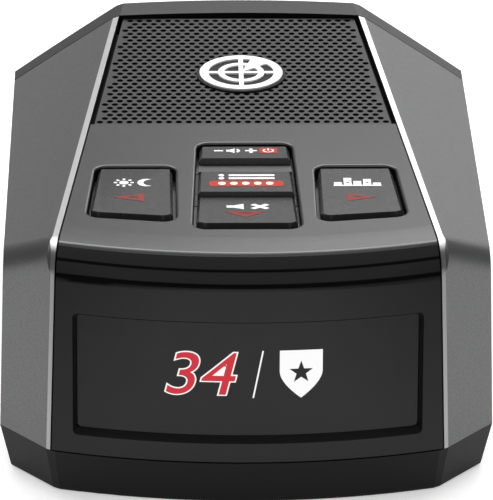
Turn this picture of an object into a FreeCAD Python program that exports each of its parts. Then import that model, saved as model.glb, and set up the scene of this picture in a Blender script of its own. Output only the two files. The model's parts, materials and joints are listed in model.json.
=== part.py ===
import FreeCAD, Part
import math
import os

# Dashboard radar detector. Millimetres, +Z up. The display and its glossy bezel face -Y (the driver) and the
# lens and the horn antenna behind it face +Y (the road). Origin: middle of the footprint, on the underside.

# Overall size
LENGTH = 100.0
WIDTH = 70.0
HEIGHT = 37.15
FRONT_Y = -LENGTH / 2
NOSE_Y = LENGTH / 2
REAR_Y = 45.0                  # middle of the rear cover's top edge
BASE_H = 6.9                   # seam between the base and everything above it
SKIN = 1.8                     # wall of the panels
SEAM = 0.12                    # half of the gap between two neighbouring panels
CLEAR = 0.15                   # clearance of parts that slip into each other
FRONT_SEAM = 0.2               # gap between the bezel and the base

# Front: everything is turned about one upright axis, so the lip, bezel, window and base share one bow
BOW_R = 98.0
BOW_Y = FRONT_Y + BOW_R
LEAN = math.tan(math.radians(5.5))
BOW_SWEEP = 56.0
ROLL_Z = 32.45                 # where the flat of the bezel turns into its rolled top
ROLL_R = 5.4
LIP_R = 92.8                   # front edge of the top panel
LIP_ROUND = 0.7
CROWN_RUN = 5.0                # the top panel falls off gently along its lip
CROWN_DROP = 0.2
BEZEL_T = 2.0

# Top: tapers towards the rear between two slanted parting planes
TOP_FRONT = (26.5, -41.0)
TOP_REAR = (18.2, 39.2)
LOW_FRONT = (27.7, -46.1)      # the parting plane at the front, at the seam's height
TOP_T = 1.8
STRIP_W = 1.0
STRIP_TILT = 17.0
STRIP_DROP = STRIP_W * math.tan(math.radians(STRIP_TILT))
SHOULDER = (34.3, -35.7, 32.25)  # front end of the edge between slope and side wall
WALL_DRAFT = 1.6
FACET_TURN = 42.0              # front corner facet: plan angle of its normal off +X
FACET_LEAN = 4.7
FACET_CORNER = (WIDTH / 2, -38.0)
FRONT_STRIP_TURN = 57.8
FRONT_STRIP_LEAN = 5.2
FRONT_STRIP_CORNER = (27.7, -45.8)
PANEL_BEND = 5.0

# Rear cover
REAR_BOW = 130.0
RIM_BOW = 170.0
RIM_Y = 39.9
REAR_WALL = 2.0

# Base
BASE_TAPER = 1.5
BASE_WALL = 2.0
BASE_FLOOR = 1.8
BASE_EDGE = 0.5
TONGUE_INSET = 2.3
TONGUE_T = 1.0
TONGUE_H = 1.5
TONGUE_ROOT = 3.0              # how far the tongue reaches down inside the wall
LABEL_HALF = (16.0, 13.0)
LABEL_ROUND = 1.5

# Speaker grille
GRILLE_FRONT = -1.3
GRILLE_T = 0.8
GRILLE_SUNK = 0.6
GRILLE_GAP = 0.4
HOLE_PITCH = 1.446
HOLE_R = 0.47
GRILLE_EDGE = 0.15             # metal left beside the outermost holes
HOLE_ROW = HOLE_PITCH * math.sqrt(3) / 2
HOLE_FIRST_ROW = GRILLE_FRONT + 0.75
EMBLEM_Y = 17.7
EMBLEM_R = 6.2
EMBLEM_BAR = 0.7
EMBLEM_SWEEP = (40, 72)        # angles of the swept sector
EMBLEM_T = 0.5

# Display window
WINDOW_HALF = 24.5
WINDOW_LOW = 9.9
WINDOW_HIGH = 28.0
WINDOW_SLANT = 0.65            # how much the recess widens above and below, and at the sides
WINDOW_SIDE_SLANT = 0.4
WINDOW_DEPTH = 1.2
WINDOW_ROUND = 1.45            # corner radius at the window's outline
WINDOW_MID = (WINDOW_LOW + WINDOW_HIGH) / 2

# Keys: plan outlines of the walls and of the apertures, as corner points or as half width and place
KEY_ROUND = 1.5
HOLE_ROUND = 1.9
HOLE_RIM = 0.35
KEY_BASE_Z = HEIGHT - TOP_T - 1.0
KEY_LAP = 0.5                  # how far a key's flange reaches under the top panel
KEY_FLANGE_T = 0.8
KEY_TRAVEL = 0.5
SIDE_KEY = [(20.95, -16.3), (10.45, -16.3), (10.4, -33.3), (22.1, -31.7)]
SIDE_HOLE = [(21.45, -15.8), (9.95, -15.8), (9.9, -34.6), (22.65, -32.7)]
COLUMN_REAR = (6.4, -8.6)
COLUMN_FRONT = (7.2, -35.6)
COLUMN_HOLE_REAR = (6.85, -7.95)
COLUMN_HOLE_FRONT = (7.7, -36.8)
KEY_SPLIT = 0.25
VOL_FRONT = -14.4
MENU_FRONT = -25.3
SIDE_BEVEL = (0.4, 0.5)        # width and drop of the slanted faces along a key's sides
REAR_BEVEL = (0.3, 0.4)
REAR_BEVELLED = ("vol", "dim", "city")

# Levels of the inside, bottom to top
BOARD_Z = 4.4
BOARD_T = 1.6
BOARD_TOP = BOARD_Z + BOARD_T
DECK_Z = 27.2
DECK_T = 1.5
DECK_TOP = DECK_Z + DECK_T
KEY_BOARD_Z = DECK_TOP + 0.1
KEY_BOARD_TOP = KEY_BOARD_Z + 1.6
SWITCH_H = 1.6
SWITCH_TOP = KEY_BOARD_TOP + SWITCH_H
PLUNGER_TOP = SWITCH_TOP + KEY_TRAVEL + 0.1
CHASSIS_FRONT = -38.2

# Speaker, antenna, sockets, fasteners
SPEAKER_Y = 13.4
SPEAKER_R = 14.0
HORN_BACK = 12.0
HORN_MOUTH = 39.5
HORN_Z = (6.5, 19.6)
LENS_HALF = 17.0
LENS_Z = (9.5, 26.6)
SLOT_HALF = 12.0
SLOT_Z = (28.9, 33.5)
SLOT_DEPTH = 12.0
JACK_Y = 20.5
JACK_Z = 13.2
JACK_BORE_R = 2.8
JACK_PIN_R = 1.05
JACK_NOSE_R = 3.9
CASE_SCREWS = [(28.5, -30.0), (-28.5, -30.0), (28.5, 30.0), (-28.5, 30.0)]
BOARD_SCREWS = [(20.5, -33.0), (-20.5, -33.0), (20.5, 35.0), (-20.5, 35.0)]
FAR = 400.0


def vec(x, y, z):
    return FreeCAD.Vector(x, y, z)


def box(x0, x1, y0, y1, z0, z1):
    return Part.makeBox(x1 - x0, y1 - y0, z1 - z0, vec(x0, y0, z0))


def rod(radius, x, y, z0, z1):
    return Part.makeCylinder(radius, z1 - z0, vec(x, y, z0))


def mirrored(shape):
    return shape.mirror(vec(0, 0, 0), vec(1, 0, 0))


def both_sides(shape):
    return [shape, mirrored(shape)]


def joined(shapes):
    return shapes[0].multiFuse(shapes[1:]).removeSplitter()


def behind(point, normal, inset=0.0):
    """Large block that fills everything on the inner side of a plane, moved inwards by inset."""
    block = Part.makeBox(FAR, FAR, FAR, vec(-FAR / 2, -FAR / 2, -FAR))
    place = point - normal * inset
    block.Placement = FreeCAD.Placement(place, FreeCAD.Rotation(vec(0, 0, 1), normal))
    return block


def unit(x, y, z):
    return vec(x, y, z).normalize()


def plan_polygon(points, z0, z1):
    corners = [vec(x, y, z0) for x, y in points]
    face = Part.Face(Part.makePolygon(corners + corners[:1]))
    return face.extrude(vec(0, 0, z1 - z0))


def rounded_prism(points, z0, z1, radius):
    """Upright prism on a polygon, with its upright edges rounded."""
    prism = plan_polygon(points, z0, z1)
    upright = [e for e in prism.Edges if abs(e.tangentAt(e.FirstParameter).z) > 0.99]
    return prism.makeFillet(radius, upright)


def grown(points, margin):
    """Polygon with every side moved outwards by margin."""
    area = sum(a[0] * b[1] - b[0] * a[1] for a, b in zip(points, points[1:] + points[:1]))
    turn = 1 if area > 0 else -1
    lines = []
    for a, b in zip(points, points[1:] + points[:1]):
        length = math.dist(a, b)
        out = ((b[1] - a[1]) / length * turn, (a[0] - b[0]) / length * turn)
        lines.append((out, out[0] * a[0] + out[1] * a[1] + margin))
    corners = []
    for (n, c), (m, d) in zip(lines[-1:] + lines[:-1], lines):
        det = n[0] * m[1] - n[1] * m[0]
        corners.append(((c * m[1] - d * n[1]) / det, (n[0] * d - m[0] * c) / det))
    return corners


def bowed(wire):
    """Solid made by turning a closed outline, drawn as radius and height in XZ, about the bow's axis."""
    solid = Part.Face(wire).revolve(vec(0, 0, 0), vec(0, 0, 1), BOW_SWEEP)
    solid.rotate(vec(0, 0, 0), vec(0, 0, 1), -90 - BOW_SWEEP / 2)
    solid.translate(vec(0, BOW_Y, 0))
    return solid


def outline_rz(points):
    corners = [vec(r, 0, z) for r, z in points]
    return Part.makePolygon(corners + corners[:1])


def turned(points, x, y):
    """Solid of revolution about an upright axis through x, y from an outline of radius and height."""
    solid = Part.Face(outline_rz(points)).revolve(vec(0, 0, 0), vec(0, 0, 1), 360)
    solid.translate(vec(x, y, 0))
    return solid


def face_r(z):
    """Bow radius of the bezel's flat face at a height."""
    return BOW_R - (z - BASE_H) * LEAN


# ---------------------------------------------------------------- planes of the outside

def parting_plane():
    front = vec(TOP_FRONT[0], TOP_FRONT[1], HEIGHT)
    rear = vec(TOP_REAR[0], TOP_REAR[1], HEIGHT)
    low = vec(LOW_FRONT[0], LOW_FRONT[1], BASE_H)
    return front, (rear - front).cross(low - front).normalize() * -1


def parting_x(y):
    """Half width of the top between the parting planes."""
    run = (y - TOP_FRONT[1]) / (TOP_REAR[1] - TOP_FRONT[1])
    return TOP_FRONT[0] + (TOP_REAR[0] - TOP_FRONT[0]) * run


def outward():
    """Plan direction square to the top's long edge."""
    return unit(TOP_REAR[1] - TOP_FRONT[1], TOP_FRONT[0] - TOP_REAR[0], 0)


def strip_plane():
    tilt = math.radians(STRIP_TILT)
    normal = outward() * math.sin(tilt) + vec(0, 0, 1) * math.cos(tilt)
    return vec(TOP_FRONT[0], TOP_FRONT[1], HEIGHT), normal


def slope_plane():
    edge = outward() * STRIP_W - vec(0, 0, STRIP_DROP)
    front = vec(TOP_FRONT[0], TOP_FRONT[1], HEIGHT) + edge
    rear = vec(TOP_REAR[0], TOP_REAR[1], HEIGHT) + edge
    normal = (vec(*SHOULDER) - front).cross(rear - front).normalize()
    return front, normal


def wall_plane():
    draft = math.radians(WALL_DRAFT)
    return vec(WIDTH / 2, 0, BASE_H), vec(math.cos(draft), 0, math.sin(draft))


def facet_plane():
    turn, lean = math.radians(FACET_TURN), math.radians(FACET_LEAN)
    flat = vec(math.cos(turn), -math.sin(turn), 0)
    return vec(*FACET_CORNER, BASE_H), flat * math.cos(lean) + vec(0, 0, 1) * math.sin(lean)


def front_strip_plane():
    turn, lean = math.radians(FRONT_STRIP_TURN), math.radians(FRONT_STRIP_LEAN)
    flat = vec(math.cos(turn), -math.sin(turn), 0)
    return vec(*FRONT_STRIP_CORNER, BASE_H), flat * math.cos(lean) + vec(0, 0, 1) * math.sin(lean)


def bent(upper, lower, inset):
    """Everything inside two planes, with the edge where they meet rounded."""
    block = behind(*upper, inset).common(behind(*lower, inset))
    middle = [e for e in block.Edges if all(
        abs((e.CenterOfMass - p).dot(n) + inset) < 0.01 for p, n in (upper, lower))]
    return block.makeFillet(PANEL_BEND - inset, middle)


def rear_side(radius, y, inset=0.0):
    """Upright cylinder whose far side is the bowed rear face."""
    return rod(radius - inset, 0, y - radius, -FAR / 4, FAR / 4)


def hull(inset=0.0):
    """The outside above the base, without the bowed front; inset gives the inner side of a wall."""
    side = bent(slope_plane(), facet_plane(), inset)
    side = side.common(bent(strip_plane(), front_strip_plane(), inset))
    side = side.common(behind(*wall_plane(), inset))
    body = box(-FAR / 4, FAR / 4, -FAR / 4, FAR / 4, BASE_H, HEIGHT - inset)
    for part in both_sides(side) + [rear_side(REAR_BOW, REAR_Y, inset)]:
        body = body.common(part)
    return body


def centre_zone(gap):
    """Everything between the two parting planes, less a gap on each side."""
    point, normal = parting_plane()
    half = behind(point, normal, gap)
    return half.common(mirrored(half))


def edge_rail(inner, outer, y0, y1, z0, z1):
    """Bar that follows the top's long edge, between two distances from it (inwards is negative)."""
    points = [(parting_x(y0) + inner, y0), (parting_x(y0) + outer, y0),
              (parting_x(y1) + outer, y1), (parting_x(y1) + inner, y1)]
    return plan_polygon(points, z0, z1)


# ---------------------------------------------------------------- casing

def side_panel_right():
    """Sloping side panel: shell with a rail for the top panel and two screw bosses."""
    shell = HULL.cut(HULL_INSIDE)
    point, normal = parting_plane()
    shell = shell.cut(behind(point, normal, -SEAM))
    shell = shell.common(rear_side(RIM_BOW, RIM_Y, SEAM))
    rail = edge_rail(-1.6, 3.2, -38.0, 36.0, HEIGHT - TOP_T - 1.4, HEIGHT - TOP_T - 0.05)
    web = edge_rail(SEAM, 1.6, -38.0, 36.0, HEIGHT - TOP_T - 1.4, HEIGHT - 1.0)
    extras = [rail.common(HULL_FIT), web.common(HULL_FIT)]
    for x, y in CASE_SCREWS:
        if x > 0:
            boss = rod(3.0, x, y, BASE_H + 0.05, 22.0)
            rib = box(x, WIDTH / 2, y - 0.8, y + 0.8, BASE_H + 2.6, 20.0).common(HULL_FIT)
            extras.append(boss.fuse(rib).cut(rod(1.3, x, y, BASE_H, 15.0)))
    panel = joined([shell] + extras)
    return panel.common(box(0, FAR, -FAR, FAR, BASE_H + SEAM / 2, FAR))


def right_side_panel():
    """Right panel, with the round window of the power socket."""
    hole = Part.makeCylinder(JACK_NOSE_R + CLEAR, 10, vec(WIDTH / 2 - 6, JACK_Y, JACK_Z), vec(1, 0, 0))
    return SIDE_PANEL.cut(hole)


def left_side_panel():
    return mirrored(SIDE_PANEL)


def bezel_profile():
    """Section of the bezel: leaning wall, rolled top and a flange under the top panel."""
    roll_r = face_r(ROLL_Z)
    lean = math.atan(LEAN)
    centre = (roll_r - ROLL_R * math.cos(lean), ROLL_Z - ROLL_R * math.sin(lean))
    lip = LIP_R + CLEAR
    lip_z = centre[1] + math.sqrt(ROLL_R ** 2 - (lip - centre[0]) ** 2)
    middle = (math.atan2(lip_z - centre[1], lip - centre[0]) + lean) / 2
    top = vec(lip, 0, lip_z)
    arc_mid = vec(centre[0] + ROLL_R * math.cos(middle), 0, centre[1] + ROLL_R * math.sin(middle))
    start = vec(roll_r, 0, ROLL_Z)
    under = HEIGHT - TOP_T - CLEAR
    inner = [vec(lip, 0, under), vec(lip - 2.4, 0, under), vec(lip - 2.4, 0, under - 1.4),
             vec(lip - 0.6, 0, under - 1.4), vec(roll_r - BEZEL_T, 0, ROLL_Z - 1.0),
             vec(face_r(BASE_H) - BEZEL_T, 0, BASE_H + FRONT_SEAM)]
    path = [top] + inner + [vec(face_r(BASE_H + FRONT_SEAM), 0, BASE_H + FRONT_SEAM), start]
    edges = [Part.makeLine(a, b) for a, b in zip(path, path[1:])]
    return Part.Wire(edges + [Part.Arc(start, arc_mid, top).toShape()])


def window_block(inset, near, far, slant=0.0, side_slant=0.0):
    """Curved block in line with the window, between two depths behind the face (negative is in front)."""
    low, high = WINDOW_LOW + inset, WINDOW_HIGH - inset
    flare = slant * (far - near)
    block = bowed(outline_rz([
        (face_r(low) - far, low), (face_r(high) - far, high),
        (face_r(high) - near, high + flare), (face_r(low) - near, low - flare)]))
    half = WINDOW_HALF - inset
    depth_y = BOW_Y - math.sqrt((face_r(WINDOW_MID) - far) ** 2 - half ** 2)
    turn = math.asin(half / BOW_R)
    spread = turn + math.atan(side_slant)
    point = vec(half, depth_y, WINDOW_MID)
    lean = math.atan(LEAN)
    normal = vec(math.cos(spread), math.sin(spread) * math.cos(lean), -math.sin(spread) * math.sin(lean))
    side = behind(point, normal)
    block = block.common(side).common(mirrored(side))
    corners = [e for e in block.Edges if abs(e.CenterOfMass.x) > WINDOW_HALF * 0.7
               and abs(e.CenterOfMass.z - WINDOW_MID) > (WINDOW_HIGH - WINDOW_LOW) * 0.35]
    return block.makeFillet(max(0.3, WINDOW_ROUND - inset), corners)


def front_bezel():
    """Glossy bezel with the sunk window: slanted walls, then a straight opening for the window's step."""
    bezel = bowed(bezel_profile()).common(centre_zone(SEAM))
    funnel = window_block(WINDOW_SLANT, -2.0, WINDOW_DEPTH, WINDOW_SLANT / WINDOW_DEPTH,
                          WINDOW_SIDE_SLANT / WINDOW_DEPTH)
    opening = window_block(WINDOW_SLANT, WINDOW_DEPTH - 0.2, BEZEL_T + 3.0)
    return bezel.cut(funnel).cut(opening)


def display_window():
    """Smoked window: a plate behind the bezel with a step that fills the opening."""
    step = window_block(WINDOW_SLANT + 0.05, WINDOW_DEPTH, BEZEL_T + 0.1)
    plate = window_block(-1.0, BEZEL_T + 0.1, BEZEL_T + 1.2)
    return joined([step, plate])


def trapezoid(rear, front, y0, y1):
    """Plan outline between y0 and y1 of a column whose half width runs from rear to front."""
    def half(y):
        return rear[0] + (front[0] - rear[0]) * (y - rear[1]) / (front[1] - rear[1])

    return [(half(y0), y0), (-half(y0), y0), (-half(y1), y1), (half(y1), y1)]


def column_outlines(rear, front):
    """Outlines of the three keys in the middle, from the half width and place of the column's two ends."""
    return {
        "vol": trapezoid(rear, front, rear[1], VOL_FRONT),
        "menu": trapezoid(rear, front, VOL_FRONT - KEY_SPLIT, MENU_FRONT),
        "mute": trapezoid(rear, front, MENU_FRONT - KEY_SPLIT, front[1]),
    }


def side_outlines(outline):
    return {"city": outline, "dim": [(-x, y) for x, y in reversed(outline)]}


def key_outlines():
    """Plan outline of each key's walls."""
    return column_outlines(COLUMN_REAR, COLUMN_FRONT) | side_outlines(SIDE_KEY)


def hole_outlines():
    """Plan outlines of the three apertures."""
    column = trapezoid(COLUMN_HOLE_REAR, COLUMN_HOLE_FRONT, COLUMN_HOLE_REAR[1], COLUMN_HOLE_FRONT[1])
    return [column] + list(side_outlines(SIDE_HOLE).values())


def flange_outlines():
    """Plan outline of each key's flange, which laps under the rim of the aperture."""
    rear = (COLUMN_HOLE_REAR[0] + KEY_LAP, COLUMN_HOLE_REAR[1] + KEY_LAP)
    front = (COLUMN_HOLE_FRONT[0] + KEY_LAP, COLUMN_HOLE_FRONT[1] - KEY_LAP)
    return column_outlines(rear, front) | side_outlines(grown(SIDE_HOLE, KEY_LAP))


def top_panel():
    """Top plate with a crowned, rounded front lip and three apertures for the keys."""
    crown_r = (CROWN_RUN ** 2 + CROWN_DROP ** 2) / (2 * CROWN_DROP)
    middle = CROWN_RUN / 2
    crown = [vec(LIP_R, 0, HEIGHT - CROWN_DROP),
             vec(LIP_R - middle, 0, HEIGHT - crown_r + math.sqrt(crown_r ** 2 - middle ** 2)),
             vec(LIP_R - CROWN_RUN, 0, HEIGHT)]
    flat = [crown[2], vec(60, 0, HEIGHT), vec(60, 0, HEIGHT - TOP_T), vec(LIP_R, 0, HEIGHT - TOP_T), crown[0]]
    sides = [Part.makeLine(a, b) for a, b in zip(flat, flat[1:])]
    plate = bowed(Part.Wire([Part.Arc(*crown).toShape()] + sides))
    edge = [e for e in plate.Edges if abs(e.BoundBox.ZMin - HEIGHT + CROWN_DROP) < 0.01
            and e.BoundBox.ZLength < 0.01 and e.BoundBox.XLength > LENGTH / 2]
    plate = plate.makeFillet(LIP_ROUND, edge)
    back = box(-FAR / 4, FAR / 4, -20, GRILLE_FRONT - SEAM, HEIGHT - TOP_T, HEIGHT)
    plate = joined([plate.common(box(-FAR, FAR, -FAR, -20, -FAR, FAR)), back]).common(centre_zone(SEAM))
    for outline in hole_outlines():
        plate = plate.cut(rounded_prism(outline, HEIGHT - TOP_T - 1, HEIGHT + 1, HOLE_ROUND))
    rims = [e for e in plate.Edges if e.BoundBox.ZMin > HEIGHT - 0.01
            and e.BoundBox.YMin > -38 and e.BoundBox.YMax < -7]
    return plate.makeFillet(HOLE_RIM, rims)


def key_block(name):
    """Upright block of a key's cap: the middle keys are cut from one column with rounded corners."""
    outline = KEYS[name]
    if name in ("dim", "city"):
        return rounded_prism(outline, KEY_BASE_Z, HEIGHT + 2, KEY_ROUND)
    column = trapezoid(COLUMN_REAR, COLUMN_FRONT, COLUMN_REAR[1], COLUMN_FRONT[1])
    block = plan_polygon(outline, KEY_BASE_Z, HEIGHT + 2)
    return block.common(rounded_prism(column, KEY_BASE_Z, HEIGHT + 2, KEY_ROUND))


def bevelled(cap, start, end, width, drop, rear):
    """Slants the edge of a cap along one wall, in front of rear; start and end lie where top and wall meet."""
    along = end - start
    across = vec(-along.y, along.x, 0).normalize() * width + vec(0, 0, drop)
    normal = across.cross(along).normalize()
    waste = behind(start - vec(0, 0, drop), normal)
    return cap.cut(waste.common(box(-FAR, FAR, -FAR, rear, 0, FAR)))


def key(name, side_profile):
    """One key: a tilted cap with slanted sides, a flange under the top panel and a stem onto its switch."""
    rear = max(y for x, y in KEYS[name])
    (run0, z0), (run1, z1) = side_profile[:2]
    (run2, z2), (run3, z3) = side_profile[-2:]
    beyond = 5.0
    tops = [(run0 - beyond, z0 - (z1 - z0) / (run1 - run0) * beyond)] + side_profile[1:-1]
    tops = tops + [(run3 + beyond, z3 + (z3 - z2) / (run3 - run2) * beyond)]
    corners = [vec(-FAR / 8, rear - run, HEIGHT + z) for run, z in tops]
    corners = corners + [vec(-FAR / 8, rear - run, KEY_BASE_Z) for run in (run3 + beyond, run0 - beyond)]
    slab = Part.Face(Part.makePolygon(corners + corners[:1])).extrude(vec(FAR / 4, 0, 0))
    cap = key_block(name).common(slab)
    flat_y = rear - run2
    slope = (z3 - z2) / (run3 - run2)
    rim = [vec(x, y, HEIGHT + z2 + (flat_y - y) * slope) for x, y in KEYS[name]]
    for start, end in zip(rim, rim[1:] + rim[:1]):
        if abs(end.y - start.y) > abs(end.x - start.x):
            cap = bevelled(cap, start, end, *SIDE_BEVEL, flat_y)
        elif end.x < start.x and name in REAR_BEVELLED:
            cap = bevelled(cap, start, end, *REAR_BEVEL, flat_y)
    flange = plan_polygon(FLANGES[name], KEY_BASE_Z, KEY_BASE_Z + KEY_FLANGE_T)
    x, y = STEMS[name]
    stem = rod(1.5, x, y, PLUNGER_TOP, KEY_BASE_Z)
    return joined([cap, flange, stem])


def speaker_grille():
    """Perforated plate: round holes in staggered rows, tapered to the rear, with clear edges."""
    rear = RIM_Y - GRILLE_GAP - 0.4
    z = HEIGHT - GRILLE_SUNK - GRILLE_T
    edge = SEAM + GRILLE_GAP
    front_half, rear_half = parting_x(GRILLE_FRONT) - edge, parting_x(rear) - edge
    sheet = [(front_half, GRILLE_FRONT), (rear_half, rear), (-rear_half, rear), (-front_half, GRILLE_FRONT)]
    corners = [vec(x, y, z) for x, y in sheet]
    outer = Part.makePolygon(corners + corners[:1])
    holes = []
    row = 0
    y = HOLE_FIRST_ROW
    while y < rear - HOLE_R - GRILLE_EDGE:
        half = parting_x(y) - edge - HOLE_R - GRILLE_EDGE
        shift = (row % 2) * HOLE_PITCH / 2
        count = int((half + shift) / HOLE_PITCH) + 1
        for i in range(-count, count + 1):
            x = i * HOLE_PITCH + shift
            if abs(x) <= half:
                holes.append(Part.Wire(Part.makeCircle(HOLE_R, vec(x, y, z))))
        row = row + 1
        y = y + HOLE_ROW
    return Part.makeFace([outer] + holes, "Part::FaceMakerBullseye").extrude(vec(0, 0, GRILLE_T))


def grille_emblem():
    """Raised mark on the grille: a radar scope of two rings, a cross and a swept sector."""
    z0 = HEIGHT - GRILLE_SUNK
    z1 = z0 + EMBLEM_T

    def ring(radius, width):
        return rod(radius, 0, 0, z0, z1).cut(rod(radius - width, 0, 0, z0 - 1, z1 + 1))

    reach = EMBLEM_R - 0.5
    half = EMBLEM_BAR / 2
    cross = [box(-reach, reach, -half, half, z0, z1), box(-half, half, -reach, reach, z0, z1)]
    spokes = [(math.cos(math.radians(a)), math.sin(math.radians(a))) for a in EMBLEM_SWEEP]
    fan = plan_polygon([(0, 0)] + [(x * FAR, y * FAR) for x, y in spokes], z0, z1)
    sector = fan.common(rod(reach, 0, 0, z0, z1))
    mark = joined([ring(EMBLEM_R, 1.3), ring(EMBLEM_R * 0.56, 0.9), sector] + cross)
    mark.translate(vec(0, EMBLEM_Y, 0))
    return mark


def grille_cloth():
    """Dust cloth under the grille."""
    y0, y1 = GRILLE_FRONT + 0.6, RIM_Y - 1.6
    z = HEIGHT - GRILLE_SUNK - GRILLE_T - 0.3
    half0, half1 = parting_x(y0) - 3.3, parting_x(y1) - 3.3
    return plan_polygon([(half0, y0), (half1, y1), (-half1, y1), (-half0, y0)], z, z + 0.2)


def rear_cover():
    """Rear cover: the rim round the tail and the rear wall with the lens opening and the bracket slot."""
    rim = HULL.cut(HULL_INSIDE)
    wall = HULL.cut(rear_side(REAR_BOW, REAR_Y, REAR_WALL))
    cover = joined([rim, wall]).cut(rear_side(RIM_BOW, RIM_Y, -SEAM))
    cover = cover.common(box(-FAR, FAR, 30, FAR, BASE_H + SEAM / 2, FAR))
    cover = cover.cut(box(-LENS_HALF - 0.1, LENS_HALF + 0.1, 30, 60, LENS_Z[0] - 0.1, LENS_Z[1] + 0.1))
    return cover.cut(box(-SLOT_HALF, SLOT_HALF, 30, 60, SLOT_Z[0], SLOT_Z[1]))


def rear_lens():
    """Tinted nose that the antenna and the laser sensor look through: a hollow cap with an inner flange."""
    z0, z1 = LENS_Z
    bulge = 60.0
    cap = box(-LENS_HALF, LENS_HALF, 40.0, 60, z0, z1).common(rod(bulge, 0, NOSE_Y - bulge, -FAR, FAR))
    far_edges = [e for e in cap.Edges if e.BoundBox.YMin > 46.0]
    cap = cap.makeFillet(2.2, far_edges)
    hollow = box(1.6 - LENS_HALF, LENS_HALF - 1.6, 39, 60, z0 + 1.6, z1 - 1.6)
    hollow = hollow.common(rod(bulge - 1.6, 0, NOSE_Y - bulge, -FAR, FAR))
    flange = box(-LENS_HALF - 1.2, LENS_HALF + 1.2, 40.0, 41.3, z0 - 0.9, z1 + 0.7)
    return joined([cap, flange]).cut(hollow)


def base_block(inset, z0, z1):
    """The base's tapering outside, or its inner side when inset."""
    taper = BASE_TAPER / BASE_H
    tilt = math.atan(taper)
    block = box(-FAR / 4, FAR / 4, -FAR / 4, FAR / 4, z0, z1)
    flats = [(vec(WIDTH / 2, 0, BASE_H), vec(1, 0, 0)),
             (facet_plane()[0], unit(facet_plane()[1].x, facet_plane()[1].y, 0)),
             (front_strip_plane()[0], unit(front_strip_plane()[1].x, front_strip_plane()[1].y, 0))]
    for point, flat in flats:
        side = behind(point, flat * math.cos(tilt) - vec(0, 0, 1) * math.sin(tilt), inset)
        block = block.common(side).common(mirrored(side))
    cone = Part.makeCone(BOW_R - BASE_TAPER - inset, BOW_R - inset, BASE_H, vec(0, BOW_Y, 0))
    tail = Part.makeCone(REAR_BOW - BASE_TAPER - inset, REAR_BOW - inset, BASE_H,
                         vec(0, REAR_Y - REAR_BOW, 0))
    return block.common(cone).common(tail)


def tongue_block(inset):
    """Upright block inside the casing's walls, from below the seam to the top of the tongue."""
    face = Part.Face(hull(inset).slice(vec(0, 0, 1), BASE_H + TONGUE_H)[0])
    face.translate(vec(0, 0, -TONGUE_ROOT - TONGUE_H))
    block = face.extrude(vec(0, 0, TONGUE_ROOT + TONGUE_H))
    return block.common(rod(BOW_R - inset, 0, BOW_Y, 0, HEIGHT))


def bottom_case():
    """Tray: floor, tapering walls, a tongue inside the panels, screw columns and board posts."""
    tray = base_block(0, 0, BASE_H)
    under = [e for e in tray.Edges if e.BoundBox.ZMax < 0.01]
    tray = tray.makeFillet(BASE_EDGE, under)
    tray = tray.cut(base_block(BASE_WALL, BASE_FLOOR, BASE_H))
    tongue = tongue_block(TONGUE_INSET).cut(tongue_block(TONGUE_INSET + TONGUE_T))
    columns = [rod(4.0, x, y, BASE_FLOOR - 0.1, BASE_H) for x, y in CASE_SCREWS]
    posts = [rod(2.6, x, y, BASE_FLOOR - 0.1, BOARD_Z) for x, y in BOARD_SCREWS]
    case = joined([tray, tongue] + columns + posts)
    for x, y in CASE_SCREWS:
        case = case.cut(rod(1.5, x, y, -1, BASE_H + 1)).cut(rod(2.8, x, y, -1, 3.0))
    for x, y in BOARD_SCREWS:
        case = case.cut(rod(1.05, x, y, BASE_FLOOR, BOARD_Z + 1))
    return case.cut(label_outline(0.2, -1, 0.45))


def label_outline(margin, z0, z1):
    x, y = LABEL_HALF[0] + margin, LABEL_HALF[1] + margin
    return rounded_prism([(-x, -y), (x, -y), (x, y), (-x, y)], z0, z1, LABEL_ROUND + margin)


def label_plate():
    """Blank plate in the shallow recess of the underside."""
    return label_outline(0, 0.1, 0.42)


# ---------------------------------------------------------------- inside

def chassis():
    """Inner frame: deck, front wall behind the display, walls round the speaker well, and four legs."""
    room = CHASSIS_ROOM
    deck = room.common(box(-FAR, FAR, CHASSIS_FRONT, 29.6, DECK_Z, DECK_TOP))
    deck = deck.cut(rod(SPEAKER_R - 1.4, 0, SPEAKER_Y, DECK_Z - 1, DECK_TOP + 1))
    front = room.common(box(-24, 24, CHASSIS_FRONT, CHASSIS_FRONT + 1.4, BOARD_TOP + 0.1, DECK_TOP))
    front = front.cut(box(-9, 9, CHASSIS_FRONT - 1, CHASSIS_FRONT + 3, BOARD_TOP - 1, 15.0))
    top = HEIGHT - GRILLE_SUNK - GRILLE_T - 0.05
    side = edge_rail(-3.1, -1.9, GRILLE_FRONT - 0.05, 29.6, DECK_TOP - 0.1, top)
    fore = box(-parting_x(0) + 1.9, parting_x(0) - 1.9, GRILLE_FRONT - 1.2, GRILLE_FRONT,
               DECK_TOP - 0.1, HEIGHT - TOP_T - 0.05)
    legs = [box(21.0, 23.4, y - 1.2, y + 1.2, BOARD_TOP + 0.05, DECK_Z + 0.1) for y in (-28.0, 8.0)]
    solid = joined([deck, front, fore] + both_sides(side) + [leg for one in legs for leg in both_sides(one)])
    return solid.cut(box(-7, 7, -8.0, -5.2, DECK_Z - 1, DECK_TOP + 1))


def button_board():
    """Circuit board of the keys, on the deck."""
    return box(-22.5, 22.5, -36.4, -8.4, KEY_BOARD_Z, KEY_BOARD_TOP)


def tact_switches():
    """Five press switches, each an open-topped housing round its plunger."""
    housings = []
    for x, y in STEMS.values():
        body = box(x - 2.25, x + 2.25, y - 2.25, y + 2.25, KEY_BOARD_TOP, SWITCH_TOP)
        housings.append(body.cut(rod(1.1, x, y, KEY_BOARD_TOP + 0.15, SWITCH_TOP + 1)))
    return Part.makeCompound(housings)


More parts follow.
